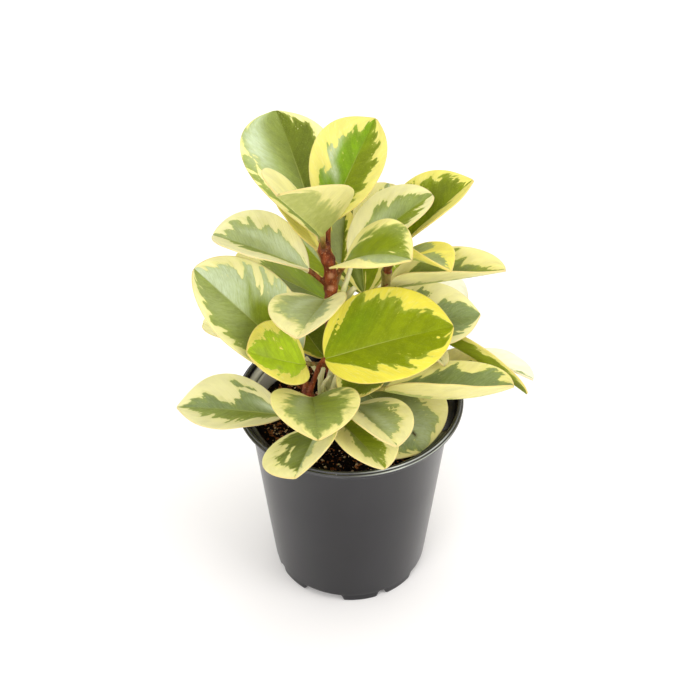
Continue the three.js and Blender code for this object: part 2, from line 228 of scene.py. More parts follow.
MARKS = {
    1: marks(50, "leaf", "deep", (92, 94, 93, 96, 96, 75), (50, 50, 50, 45, 72, 30),
        ("cream", 52, -74, 13, 6, 60), ("cream", 92, -10, 3, 12, 50), ("wax_and_sheen", 78, -72, 20, 24, 100),
        ("deep", 70, 10, 35, 40, 80)),
    2: marks(78, "vivid", "olive", (60, 70, 60, 58, 45, 30), (60, 60, 72, 66, 50, 30),
        ("wax_and_sheen", 58, -56, 16, 11, 120), ("cream", 57, -26, 4, 5, 50), ("wax_and_sheen", 43, -35, 5, 16, 80),
        ("cream", 68, -36, 10, 3, 25), ("vivid", 85, 5, 15, 30, 50)),
    3: marks(55, "grey", "leaf", (75, 60, 50, 50, 75, 70), (90, 70, 35, 10, -10, -10),
        ("olive", 70, -20, 30, 30, 50), soft=60),
    4: marks(34, "leaf", "grey", (5, 15, 25, 36, 30, 10), (30, 56, 70, 64, 62, 20),
        ("wax_and_sheen", 32, 36, 20, 25, 110), ("wax_and_sheen", 60, 35, 16, 10, 70), ("cream", 46, 68, 2.5, 14, 50),
        ("cream", 64, 66, 2, 14, 50)),
    5: marks(60, "deep", "olive", (90, 90, 90, 80, 20, 0), (95, 95, 95, 85, 15, 0),
        ("vivid", 10, 20, 20, 50, 60)),
    # Blade 6's narrow deep band 42 hundredths along is a painted shadow, cast by blade 8's edge
    6: marks(42, "leaf", "wax_and_sheen", (80, 80, 82, 80, 74, 40), (90, 90, 90, 86, 72, 30),
        ("cream", 62, 72, 2, 18, 70), ("cream", 77, 72, 2.2, 20, 60), ("cream", 50, 50, 1.2, 25, 50),
        ("fresh", 57, 35, 2, 35, 80), ("deep", 42, -30, 7, 60, 35), ("olive", 28, 5, 24, 50, 160),
        ("grey", 70, -40, 30, 40, 60)),
    7: marks(44, "grey", "grey", (60, 50, 44, 52, 15, 0), (85, 85, 82, 76, 30, 0),
        ("olive", 15, -20, 25, 30, 60), ("deep", 55, -25, 15, 20, 40), ("wax_and_sheen", 30, 45, 25, 12, 60),
        soft=55),
    8: marks(90, "lime", "lime", (20, 45, 56, 62, 75, 65), (60, 76, 80, 65, 52, 35),
        ("cream", 42, 32, 10, 3.5, 55), ("cream", 57, 50, 6, 5, 50), ("leaf", 55, -35, 6, 6, 80),
        ("leaf", 75, 10, 15, 20, 40)),
    9: marks(100, "fresh", "fresh", (35, 95, 82, 60, 52, 50), (10, 50, 78, 66, 76, 48),
        ("green", 14, -66, 3, 25, 60), ("cream", 20, -75, 2, 30, 90), ("cream", 42, 64, 3, 12, 40),
        ("cream", 86, 30, 1.2, 2.5, 60), ("olive", 55, 25, 30, 30, 50), ("vivid", 30, -50, 20, 30, 50)),
    10: marks(42, "leaf", "olive", (20, 36, 62, 60, 56, 30), (50, 70, 70, 72, 55, 10),
        ("wax_and_sheen", 45, -30, 25, 20, 40), ("slate", 60, -10, 20, 10, 50)),
    11: marks(80, "fresh", "fresh", (60, 70, 82, 78, 70, 10), (15, 15, 10, 10, 10, 0),
        ("deep", 70, -30, 30, 40, 70), ("cream", 57, -75, 2, 12, 50)),
    12: marks(62, "leaf", "grey", (30, 62, 78, 92, 64, 40), (-5, 0, 15, 50, 75, 50),
        ("vivid", 22, -35, 18, 10, 90), ("cream", 30, -52, 14, 3, 50), ("cream", 20, -30, 12, 3, 40),
        ("olive", 50, -30, 50, 40, 120), ("cream", 72, -10, 6, 3.5, 70), soft=50),
    13: marks(88, "grey", "fresh", (90, 95, 40, 48, 46, 25), (60, 60, 30, 10, 0, 0),
        ("cream", 42, -50, 5, 30, 40), ("slate", 70, -35, 20, 15, 80)),
    14: marks(50, "leaf", "leaf", (20, 90, 95, 62, 30, 15), (30, 25, 20, 12, 0, 0),
        ("slate", 70, -40, 14, 30, 90), ("cream", 10, -50, 8, 50, 60)),
    16: marks(43, "slate", "slate", (70, 70, 85, 50, 62, 60), (70, 70, 70, 70, 72, 55),
        ("cream", 57, -50, 3, 30, 70), ("deep", 80, 20, 20, 30, 50)),
    17: marks(0, "grey", "vivid", (-10, -10, -10, -10, 10, 20), (-10, -10, -10, 10, 50, 60),
        ("green", 86, -10, 5, 12, 35), ("vivid", 86, -10, 8, 20, 100)),
    18: marks(60, "slate", "leaf", (20, 60, 86, 82, 80, 30), (40, 20, 10, 5, 0, 0),
        ("cream", 67, -74, 9, 7, 55), ("deep", 40, -50, 30, 30, 40)),
    19: marks(75, "fresh", "fresh", (-10, -10, -10, -10, -10, 0), (80, 80, 76, 76, 85, 95),
        ("deep", 90, 30, 14, 60, 90), below=10),
    20: marks(8, "grey", "grey", (-10, -10, -10, -10, 0, 10), (-10, -10, -10, -10, 40, 50)),
    21: marks(40, "grey", "grey", (30, 30, 20, 10, 20, 10), (20, 30, 30, 30, 20, 0),
        ("green", 72, -72, 8, 14, 80), ("slate", 72, -70, 15, 20, 80)),
    22: marks(38, "leaf", "slate", (35, 42, 60, 40, 36, 20), (30, 60, 78, 16, 50, 20),
        ("wax_and_sheen", 15, 30, 12, 16, 100), ("cream", 35, 62, 10, 4, 50), ("cream", 27, 42, 5, 3, 30),
        ("olive", 30, -20, 25, 25, 60), ("cream", 50, 50, 5, 20, 40)),
    23: marks(58, "leaf", "leaf", (100, 90, 74, 72, 55, 25), (30, 66, 62, 66, 45, 25),
        ("cream", 26, -60, 5, 10, 70), ("olive", 30, -30, 35, 40, 80), ("green", 83, -62, 2, 20, 50),
        ("wax_and_sheen", 30, 35, 30, 15, 30), soft=60),
    24: marks(50, "grey", "deep", (5, 10, 26, 26, 8, 5), (70, 85, 60, 66, 42, 8),
        ("cream", 56, 38, 13, 3, 45), ("cream", 45, 60, 10, 5, 40), ("leaf", 65, 30, 15, 30, 60), soft=15),
    25: marks(46, "olive", "leaf", (40, 50, 50, 50, 45, 20), (0, 5, 10, 26, 45, 10),
        ("leaf", 80, -10, 15, 40, 60), soft=10),
    26: marks(44, "grey", "grey", (50, 75, 76, 68, 38, 0), (10, 10, 10, 16, 8, 0),
        ("cream", 41, -62, 2.5, 12, 40), ("leaf", 30, -50, 30, 25, 80), ("wax_and_sheen", 50, -20, 30, 12, 50)),
    27: marks(55, "grey", "slate", (90, 86, 74, 64, 62, 50), (90, 90, 90, 90, 62, 30),
        ("deep", 20, -30, 25, 60, 90), ("wax_and_sheen", 75, -20, 22, 30, 45), ("cream", 83, -3, 3, 3, 60),
        ("torn", 78, -10, 3, 3.5, 200)),
    28: marks(70, "olive", "olive", (95, 95, 95, 90, 80, 60), (90, 90, 90, 90, 70, 30),
        ("deep", 60, 0, 30, 60, 60)),
    29: marks(40, "leaf", "leaf", (20, 20, 30, 20, 10, 0), (20, 20, 30, 20, 10, 0)),
    30: marks(80, "grey", "olive", (95, 95, 95, 95, 85, 50), (60, 60, 45, 30, 30, 20),
        ("deep", 60, 0, 40, 25, 80), ("cream", 30, 35, 10, 4, 40)),
    31: marks(40, "olive", "leaf", (40, 40, 40, 30, 10, 0), (70, 70, 70, 50, 20, 0)),
    32: marks(50, "grey", "wax_and_sheen", (50, 60, 70, 60, 40, 20), (50, 50, 40, 40, 30, 20)),
    33: marks(80, "fresh", "olive", (-10, -10, -10, -10, 0, 0), (-10, -10, -10, -10, 0, 0)),
    35: marks(70, "deep", "fresh", (90, 90, 85, 80, 70, 40), (90, 90, 85, 80, 70, 40),
        ("cream", 12, -55, 30, 10, 90), ("cream", 12, 10, 25, 7, 90), ("cream", 12, 62, 30, 9, 90),
        ("leaf", 12, -20, 20, 10, 80)),
    40: marks(90, "fresh", "deep", (85, 85, 85, 80, 60, 30), (100, 95, 95, 90, 60, 30),
        ("cream", 40, 3, 60, 3, 70), ("deep", 30, 50, 50, 50, 80)),
}

# The blades whose tips are more pointed than an oval's: how fast each narrows
POINTED = {2: 2.8, 9: 3.0, 11: 2.2, 12: 1.9, 13: 1.5, 16: 2.2, 19: 1.6, 22: 1.9}

# How green each stem is, the young shoots beside it (points, then radius) and its leaf scars
STEM_GREEN = {"stem_right": 0.5, "stem_low_right": 0.5, "stem_back": 0.5}
SHOOTS = {
    "stem_main": (
        ([(-8, 1, 154), (-4, 0.5, 162), (-1.8, 1, 169), (0.5, 2, 177)], 1.7),
        ([(-8, 2, 147), (-4, 3, 154.5), (-0.8, 4, 160), (2.4, 4, 164.5)], 2.1),
    ),
    "stem_front_right": (
        ([(-9.6, -12, 104), (-9, -12.5, 114), (-7.2, -13.5, 123), (-5.3, -14.5, 131)], 1.6),
        ([(-10, -12, 104), (-12.5, -14.5, 118), (-12, -15.5, 124), (-9, -15, 129)], 1.2),
        ([(-9, -11, 106), (-6, -10, 114), (-4, -9, 120), (-2.5, -8, 126)], 2.2),
        ([(-10, -11, 104), (-12, -10.5, 116), (-15, -9.5, 126), (-20, -8, 134)], 1.5),
        ([(-10, -9, 104), (-10.5, -8, 112), (-9.5, -7, 119), (-8, -6, 126)], 2.4),
        ([(-10.5, -12, 104), (-12.8, -12, 113), (-13.5, -11.5, 121), (-12, -11, 130)], 1.8),
    ),
}
SCARS = ((-8.3, -2.9, 176), (-8.3, -2.9, 169.4), (-9.6, -2.6, 157), (-7, -2.4, 150))

# How red each petiole stays toward its blade, where it isn't left to chance
RED_PETIOLES = {2: 1.0, 4: 0.9, 5: 0.8, 8: 0.8, 9: 1.0, 12: 0.9}


# Meshes
def in_metres(points):
    return np.asarray(points, float).reshape(-1, 3) * MM + AXIS


def set_attributes(mesh, attributes):
    for key, values in attributes.items():
        values = np.asarray(values, np.float32)
        kind, field = ("FLOAT_VECTOR", "vector") if values.ndim == 2 else ("FLOAT", "value")
        mesh.attributes.new(key, kind, "POINT").data.foreach_set(field, values.ravel())


def add_to_scene(name, data):
    made = bpy.data.objects.new(name, data)
    bpy.context.scene.collection.objects.link(made)
    return made


def build_object(name, points, faces, material, node, attributes):
    mesh = bpy.data.meshes.new(name)
    mesh.from_pydata(in_metres(points).tolist(), [], faces)
    set_attributes(mesh, attributes)
    mesh.materials.append(material)
    mesh.polygons.foreach_set("use_smooth", [True] * len(mesh.polygons))
    mesh.update()
    made = add_to_scene(name, mesh)
    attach(made, "root")
    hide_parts(node)
    return made


def apply_modifiers(made):
    with bpy.context.temp_override(object=made, active_object=made, selected_objects=[made]):
        for modifier in list(made.modifiers):
            bpy.ops.object.modifier_apply(modifier=modifier.name)


def ring_quads(low, high, count):
    """Quads between two closed rings of points that start at low and at high."""
    return [(low + k, high + k, high + (k + 1) % count, low + (k + 1) % count) for k in range(count)]


def lathe(profile, sides, lift):
    """Points and quads of a closed turned shell; lift(angle, radius, height) may raise a point."""
    points, faces = [], []
    for k in range(sides):
        turn = 2 * math.pi * k / sides
        for radius, height in profile:
            z = lift(math.degrees(turn), radius, height)
            points.append((radius * math.sin(turn), -radius * math.cos(turn), z))
    count = len(profile)
    for k in range(sides):
        faces += ring_quads(k * count, (k + 1) % sides * count, count)
    return points, faces


def rounded(corners, steps=4):
    """A closed outline of (x, y, rounding) corners, each cut by a short arc."""
    outline = []
    count = len(corners)
    for i, (x, y, r) in enumerate(corners):
        here = np.array((x, y), float)
        if r <= 0:
            outline.append(tuple(here))
            continue
        ends = []
        for other in (corners[i - 1], corners[(i + 1) % count]):
            arm = np.array(other[:2], float) - here
            reach = np.linalg.norm(arm)
            ends.append(here + arm / reach * min(r, reach * 0.45))
        a, b = ends
        for k in range(steps + 1):
            t = k / steps
            outline.append(tuple((1 - t) ** 2 * a + 2 * t * (1 - t) * here + t * t * b))
    return outline


# Node graphs
def srgb(red, green, blue):
    parts = [c / 255 for c in (red, green, blue)]
    linear = [c / 12.92 if c <= 0.04045 else ((c + 0.055) / 1.055) ** 2.4 for c in parts]
    return (*linear, 1.0)


class Graph:
    """A material's node tree, with one short call for each node."""

    def __init__(self, name):
        self.material = bpy.data.materials.new(name)
        self.material.use_nodes = True
        self.tree = self.material.node_tree
        self.shader = self.tree.nodes["Principled BSDF"]

    def add(self, kind, inputs=(), **settings):
        made = self.tree.nodes.new(kind)
        for key, value in settings.items():
            setattr(made, key, value)
        for key, value in dict(inputs).items():
            self.put(made.inputs[key], value)
        return made

    def put(self, socket, value):
        if isinstance(value, bpy.types.NodeSocket):
            self.tree.links.new(value, socket)
        else:
            socket.default_value = value

    def attribute(self, name, output="Fac"):
        return self.add("ShaderNodeAttribute", attribute_name=name).outputs[output]

    def math(self, operation, *values):
        return self.add("ShaderNodeMath", enumerate(values), operation=operation).outputs[0]

    def plus(self, first, *others):
        for other in others:
            first = self.math("ADD", first, other)
        return first

    def minus(self, first, other):
        return self.math("SUBTRACT", first, other)

    def times(self, first, *others):
        for other in others:
            first = self.math("MULTIPLY", first, other)
        return first

    def ramp(self, value, low, high, to_low=0.0, to_high=1.0, smooth=True):
        kind = "SMOOTHSTEP" if smooth else "LINEAR"
        inputs = {0: value, 1: low, 2: high, 3: to_low, 4: to_high}
        return self.add("ShaderNodeMapRange", inputs, interpolation_type=kind).outputs[0]

    def band(self, value, middle, reach):
        """1 at the middle, and 0 from the reach on, on both sides of it."""
        rise = self.ramp(value, middle - reach, middle)
        return self.math("MINIMUM", rise, self.ramp(value, middle + reach, middle))

    def mix(self, share, low, high):
        """A blend of two colours, each a socket or red, green and blue from 0 to 255."""
        low, high = (srgb(*colour) if isinstance(colour, tuple) else colour for colour in (low, high))
        return self.add("ShaderNodeMix", {0: share, 6: low, 7: high}, data_type="RGBA").outputs[2]

    def vector(self, x, y, z):
        return self.add("ShaderNodeCombineXYZ", {0: x, 1: y, 2: z}).outputs[0]

    def vector_math(self, operation, inputs, output="Vector"):
        return self.add("ShaderNodeVectorMath", inputs, operation=operation).outputs[output]

    def scale(self, vector, share):
        return self.vector_math("SCALE", {0: vector, "Scale": share})

    def noise(self, vector, scale, detail=2.0, rough=0.5, stretch=None):
        if stretch:
            vector = self.vector_math("MULTIPLY", {0: vector, 1: stretch})
        inputs = {"Vector": vector, "Scale": scale, "Detail": detail, "Roughness": rough}
        return self.add("ShaderNodeTexNoise", inputs).outputs[0]

    def bump(self, height, distance, strength=1.0):
        inputs = {"Height": height, "Distance": distance, "Strength": strength}
        return self.add("ShaderNodeBump", inputs).outputs[0]

    def finish(self, **inputs):
        for key, value in inputs.items():
            self.put(self.shader.inputs[key.replace("_", " ")], value)
        return self.material


def object_place(graph):
    return graph.add("ShaderNodeTexCoord").outputs["Object"]


def green_edge(g, place):
    """How far the green's wavy, toothed and frayed edge reaches past its line."""
    total = 0.0
    for stretch, detail, reach in EDGE_WAVES:
        wave = g.noise(place, 1.0, detail, stretch=stretch)
        total = g.plus(total, g.times(g.minus(wave, 0.5), reach))
    return total


def green_colour(g, place, depth, streaks, mottle, wax_and_sheen):
    """The tone of a blade's green, shaded from vein to vein, paler at its edge, and whitened where it is
    waxy by a painted sheen that stands for the reflection of the bright surroundings.
    """
    sectors = g.noise(place, 1.0, 2.0, stretch=(12.0, 1.7, 2.0))
    grain = g.noise(object_place(g), FINE_GRAIN, 2.0, 0.6)
    skirt = g.ramp(depth, 0.13, 0.02)
    shade = g.ramp(sectors, 0.44, 0.58, 0.95, 1.08)
    shade = g.times(shade, g.ramp(streaks, 0.3, 0.7, 0.96, 1.05), g.ramp(mottle, 0.3, 0.7, 0.91, 1.07))
    green = g.scale(g.attribute("green", "Vector"), shade)
    # Painted sheen: a whitish reflection painted into the green where the blade is waxy
    green = g.mix(wax_and_sheen, green, (206, 217, 190))
    green = g.mix(g.times(skirt, 0.3), green, (170, 180, 78))
    return g.mix(g.ramp(grain, 0.5, 0.7, 0.0, 0.12), green, (190, 200, 100))


def cream_colour(g, place, depth, streaks):
    """A blade's cream, from white to yellow, greener toward the green's edge."""
    warm = g.attribute("warm")
    blush = g.noise(place, 1.0, 2.0, stretch=(7.0, 2.0, 1.0))
    fringe = g.ramp(depth, -0.16, 0.0)
    cream = g.mix(g.ramp(warm, 0.0, 0.5, smooth=False), (248, 245, 220), (236, 228, 160))
    cream = g.mix(g.ramp(warm, 0.5, 1.0, smooth=False), cream, (238, 224, 84))
    cream = g.scale(cream, g.ramp(blush, 0.35, 0.7, 1.03, 0.9))
    cream = g.mix(g.times(fringe, 0.3), cream, (206, 206, 100))
    return g.mix(g.ramp(streaks, 0.5, 0.75, 0.0, 0.25), cream, (244, 239, 196))


def blade_material():
    g = Graph("variegated_blade")
    s, v, seed = g.add("ShaderNodeSeparateXYZ", {0: g.attribute("blade", "Vector")}).outputs
    out = g.math("ABSOLUTE", v)
    half = g.math("GREATER_THAN", v, 0.0)
    vein = g.minus(s, g.times(out, VEIN_SLANT))
    place = g.vector(vein, out, g.plus(g.times(seed, 3.7), g.times(half, 1.9)))
    streaks = g.noise(place, 1.0, 3.0, 0.65, stretch=(60.0, 8.0, 1.0))
    mottle = g.noise(object_place(g), 330.0, 4.0, 0.7)
    # The waxy gloss, and the painted whitish sheen broken up along the veins
    wax_and_sheen = g.times(g.attribute("wax_and_sheen"), g.ramp(streaks, 0.28, 0.72, 0.5, 0.95))

    depth = g.plus(g.attribute("inside"), green_edge(g, place))
    blur = g.plus(0.018, g.times(g.attribute("soft"), 0.16))
    green_share = g.ramp(depth, g.times(blur, -1.0), blur)
    green = green_colour(g, place, depth, streaks, mottle, wax_and_sheen)
    cream = cream_colour(g, place, depth, streaks)
    flecks = g.noise(place, 1.0, 1.0, stretch=(44.0, 13.0, 3.0))
    fleck_share = g.times(g.ramp(flecks, 0.68, 0.73), g.ramp(depth, 0.36, 0.08))
    colour = g.mix(green_share, cream, green)
    colour = g.mix(g.times(fleck_share, 0.55), colour, cream)

    pale_green = g.mix(g.ramp(mottle, 0.3, 0.7), (170, 176, 96), (188, 192, 118))
    below = g.mix(green_share, g.scale(cream, 0.96), pale_green)
    colour = g.mix(g.times(g.attribute("under"), g.attribute("pale")), colour, below)
    rib = g.times(g.ramp(g.attribute("across"), 0.5, 0.12), g.ramp(s, 1.0, 0.1, 0.0, 0.4))
    colour = g.mix(rib, colour, (205, 208, 120))
    rim = g.ramp(g.attribute("edge"), 0.5, 0.1)
    colour = g.mix(g.times(rim, 0.55), colour, (210, 176, 112))

    ridge = g.math("PINGPONG", g.times(vein, VEINS), 0.5)
    grain = g.noise(object_place(g), FINE_GRAIN, 2.0, 0.6)
    relief = g.plus(g.times(streaks, 0.8), g.times(g.ramp(ridge, 0.0, 0.1), 0.4), g.times(grain, 0.3))
    return g.finish(
        Base_Color=colour,
        Roughness=g.ramp(mottle, 0.3, 0.7, 0.4, 0.5),
        Specular_IOR_Level=g.ramp(wax_and_sheen, 0.0, 1.0, 0.14, 0.4, smooth=False),
        Normal=g.bump(relief, 0.00012),
        Subsurface_Weight=0.35,
        Subsurface_Radius=(1.0, 1.1, 0.5),
        Subsurface_Scale=0.002,
    )


def stem_material():
    g = Graph("reddish_stem")
    place = object_place(g)
    green = g.attribute("greenness")
    mottle = g.noise(place, 420.0, 3.0, 0.6, stretch=(1.0, 1.0, 0.35))
    freckles = g.noise(place, 1500.0, 2.0)
    patches = g.ramp(mottle, 0.35, 0.65)
    red = g.mix(patches, (84, 32, 14), (140, 66, 32))
    leafy = g.mix(patches, (150, 160, 62), (205, 202, 120))
    colour = g.mix(g.ramp(green, 0.0, 1.0, smooth=False), red, leafy)
    colour = g.mix(g.ramp(green, 1.0, 2.0, smooth=False), colour, (236, 230, 184))
    colour = g.mix(g.ramp(freckles, 0.6, 0.72, 0.0, 0.5), colour, (216, 160, 118))
    colour = g.mix(g.times(g.attribute("scar"), 0.55), colour, (206, 152, 116))
    return g.finish(
        Base_Color=colour,
        Roughness=0.5,
        Specular_IOR_Level=0.25,
        Normal=g.bump(mottle, 0.0003, 0.6),
        Subsurface_Weight=0.1,
        Subsurface_Radius=(0.9, 0.4, 0.2),
        Subsurface_Scale=0.001,
    )


def soil_material():
    g = Graph("potting_soil")
    place = object_place(g)
    kind = g.attribute("kind")
    crumbs = g.noise(place, 700.0, 4.0, 0.65)
    flakes = g.ramp(crumbs, 0.35, 0.65)
    earth = g.mix(g.ramp(crumbs, 0.4, 0.62), (6, 4, 3), (30, 18, 12))
    bark = g.mix(flakes, (88, 46, 26), (176, 114, 68))
    pale = g.mix(flakes, (176, 140, 100), (226, 204, 168))
    colour = g.mix(g.ramp(kind, 0.3, 0.45), earth, bark)
    colour = g.mix(g.ramp(kind, 0.75, 0.85), colour, pale)
    relief = g.bump(crumbs, 0.0012)
    return g.finish(Base_Color=colour, Roughness=0.85, Specular_IOR_Level=0.08, Normal=relief)


def painted_lip_highlights(g, x, y, z):
    """How strongly highlights are painted on the lip's two edges, most on the pot's right, where the key
    light falls.
    """
    start, full, fading, end = (place * MM for place in LIP_HIGHLIGHT_SPAN)
    out = g.vector(g.minus(x, AXIS[0]), g.minus(y, AXIS[1]), 0.0)
    radius = g.vector_math("LENGTH", {0: out}, "Value")
    lip = g.band(radius, (RIM_RADIUS - 1.25) * MM, 0.45 * MM)
    lip = g.times(lip, g.ramp(z, (POT_HEIGHT - 0.6) * MM, (POT_HEIGHT - 0.25) * MM))
    bead = g.band(z, (POT_HEIGHT - 1.0) * MM, 0.4 * MM)
    bead = g.times(bead, g.ramp(radius, (RIM_RADIUS - 0.7) * MM, (RIM_RADIUS - 0.35) * MM))
    right = g.math("MINIMUM", g.ramp(x, start, full, 0.04, 1.0), g.ramp(x, end, fading, 0.12, 1.0))
    return g.times(g.math("MAXIMUM", lip, bead), right)


def painted_lining_light(g, x, y, z, lining):
    """How much light is painted on the pot's inner wall: only at the back on the left, below the lip,
    where it faces the key light.
    """
    full, end = (place * MM for place in LIT_LINING_SPAN)
    back = g.ramp(y, AXIS[1] - 6 * MM, AXIS[1] + 8 * MM)
    below = g.ramp(z, (POT_HEIGHT - 1.5) * MM, (POT_HEIGHT - 3) * MM)
    return g.times(lining, g.ramp(x, end, full), back, below)


def pot_material():
    g = Graph("satin_charcoal")
    place = object_place(g)
    x, y, z = g.add("ShaderNodeSeparateXYZ", {0: place}).outputs
    lining = g.attribute("lining")
    haze = g.noise(place, 34.0, 4.0, 0.6, stretch=(1.0, 1.0, 0.45))
    grain = g.noise(place, 2600.0, 2.0)
    nicks = g.noise(place, 160.0, 2.0, stretch=(1.6, 1.6, 0.16))
    colour = g.mix(g.ramp(haze, 0.35, 0.7), (19, 18, 21), (27, 26, 30))
    colour = g.mix(g.ramp(nicks, 0.765, 0.79, 0.0, 0.35), colour, (150, 148, 150))
    # Painted light: a near-white tint where the key light falls on the inner wall at the back on the left
    lining_light = g.times(painted_lining_light(g, x, y, z, lining), g.ramp(haze, 0.2, 0.7, 0.8, 1.0))
    colour = g.mix(lining_light, colour, (228, 226, 227))
    # Painted highlights: pale lines along the lip's edges that stand for the key light caught there
    lip_highlight = g.times(painted_lip_highlights(g, x, y, z), g.ramp(haze, 0.3, 0.6, 0.5, 0.9))
    colour = g.mix(lip_highlight, colour, (206, 210, 202))
    upper = ((COLLAR_FOOT - 2.3) * MM, (COLLAR_FOOT - 0.3) * MM)
    shine = g.times(g.ramp(z, *upper, 0.38, 0.7), g.ramp(lining, 0.0, 1.0, 1.0, 0.3))
    return g.finish(
        Base_Color=colour,
        Roughness=g.ramp(z, *upper, 0.26, 0.2),
        Specular_IOR_Level=shine,
        Normal=g.bump(grain, 0.00003),
    )


# Blades
def columns_across():
    """Places across a blade, closer together at the midrib and at the edges."""
    right = [0.02, 0.05, 0.1, 0.16, 0.23, 0.31, 0.39, 0.47, 0.55, 0.63, 0.71, 0.79, 0.86, 0.92, 0.97, 1.0]
    return np.array([*(-place for place in reversed(right)), 0.0, *right])


class Blade:
    """The curved sheet of one blade, by its solid's formula, and with a sharper tip where POINTED says."""

    def __init__(self, stem, row):
        self.number, self.height = row[:2]
        self.node, self.stem = f"leaf_{self.number:02d}", stem
        self.base = np.array(row[2:5], float)
        turn, rise, length, width, roll, bend, fold, curl, widest = row[5:]
        self.turn, self.rise, self.roll = (math.radians(a) for a in (turn, rise, roll))
        self.bend = math.radians(bend) or 1e-6
        self.fold = math.radians(fold)
        self.curl = math.radians(curl) or 1e-6
        self.length, self.half_width, self.widest = length, width / 2, widest
        self.tip_slope = POINTED.get(self.number, TIP_SLOPE)

    def frame(self, s):
        start = self.rise + self.bend / 2
        pitch = start - self.bend * s
        level = np.array([math.cos(self.turn), math.sin(self.turn), 0.0])
        up_axis = np.array([0.0, 0.0, 1.0])
        along = np.cos(pitch)[..., None] * level + np.sin(pitch)[..., None] * up_axis
        flat_side = np.array([math.sin(self.turn), -math.cos(self.turn), 0.0])
        flat_up = np.cross(flat_side, along)
        side = flat_side * math.cos(self.roll) + flat_up * math.sin(self.roll)
        up = flat_up * math.cos(self.roll) - flat_side * math.sin(self.roll)
        arc = self.length / self.bend
        run = arc * (math.sin(start) - np.sin(pitch))
        climb = arc * (np.cos(pitch) - math.cos(start))
        centre = self.base + run[..., None] * level + climb[..., None] * up_axis
        return along, side, up, centre

    def half_width_at(self, s):
        rising = TIP_ROUNDNESS * self.widest / (1 - self.widest)
        peak = self.widest ** rising * (1 - self.widest) ** TIP_ROUNDNESS
        oval = self.half_width * s ** rising * np.clip(1 - s, 0, 1) ** TIP_ROUNDNESS / peak
        point = np.maximum((1 - s) * self.length * self.tip_slope, 1e-3)
        oval = 1 / ((1 / np.maximum(oval, 1e-3)) ** 4 + (1 / point) ** 4) ** 0.25
        least = BASE_HALF_WIDTH + (TIP_HALF_WIDTH - BASE_HALF_WIDTH) * s
        return np.maximum(oval, least)

    def point(self, s, v):
        _, side, up, centre = self.frame(s)
        wide = self.half_width_at(s)
        fold = self.fold * (1.25 - 0.5 * s)
        edge = fold + self.curl * np.abs(v)
        across = (np.sin(edge) - np.sin(fold)) / self.curl
        lift = (np.cos(fold) - np.cos(edge)) / self.curl
        return centre + (np.sign(v) * across * wide)[..., None] * side + (lift * wide)[..., None] * up

    def normal(self, s, v):
        step = 0.02
        onward = self.point(np.minimum(s + step, 1), v) - self.point(np.maximum(s - step, 0), v)
        outward = self.point(s, np.minimum(v + step, 1)) - self.point(s, np.maximum(v - step, -1))
        facing = np.cross(outward, onward)
        return facing / np.linalg.norm(facing, axis=-1, keepdims=True)


def marks_of(blade):
    """The markings of a blade, drawn by chance for one that the photo doesn't show."""
    if blade.number in MARKS:
        return MARKS[blade.number]
    draw = random.Random(blade.node)
    tones = ("leaf", "olive", "deep", "grey", "fresh")
    left, right = ([draw.uniform(40, 85) for _ in range(5)] + [20] for _ in range(2))
    both = (draw.choice(tones), draw.choice(tones))
    return marks(draw.uniform(20, 90), *both, left, right)


def vein_place(s, v):
    """Lateral veins slant toward the tip: points on one vein share this value."""
    return s - VEIN_SLANT * np.abs(v)


def tone_values(name):
    """A green as linear red, green and blue, then how waxy it is, which also sets how much whitish sheen
    is painted into it.
    """
    colour, wax_and_sheen = TONES[name]
    return np.array([*srgb(*colour)[:3], wax_and_sheen])


def markings(blade, s, v):
    """The attributes that the blade's material reads, at each point (s, v) of the blade."""
    mark = marks_of(blade)
    stations = np.linspace(0, 1, 6)
    along = np.clip(vein_place(s, v) + VEIN_SLANT * 0.5, 0, 1)
    left, right = (np.interp(along, stations, mark[half]) for half in ("left", "right"))
    inside = np.where(v < 0, left, right) - np.abs(v)
    share = np.clip(v / MIDRIB_BLEND + 0.5, 0, 1)[:, None]
    left_tone, right_tone = (tone_values(name) for name in mark["tones"])
    tone = (1 - share) * left_tone + share * right_tone
    for kind, at, out, reach_along, reach_across, strength in mark["spots"]:
        ahead = (vein_place(s, v) - vein_place(at, out)) / reach_along
        aside = (v - out) / reach_across
        weight = strength * np.exp(-(ahead ** 2 + aside ** 2))
        if kind == "cream":
            inside = inside - weight
        elif kind == "green":
            inside = inside + weight
        else:
            weight = np.clip(weight, 0, 1)[:, None]
            tone = (1 - weight) * tone + weight * tone_values(kind)
    return {
        "blade": np.stack([s, v, np.full_like(s, blade.number)], 1),
        "inside": inside,
        "green": tone[:, :3],
        "wax_and_sheen": tone[:, 3],
        "warm": np.full_like(s, mark["warm"]),
        "soft": np.full_like(s, mark["soft"]),
        "pale": np.full_like(s, mark["below"]),
    }


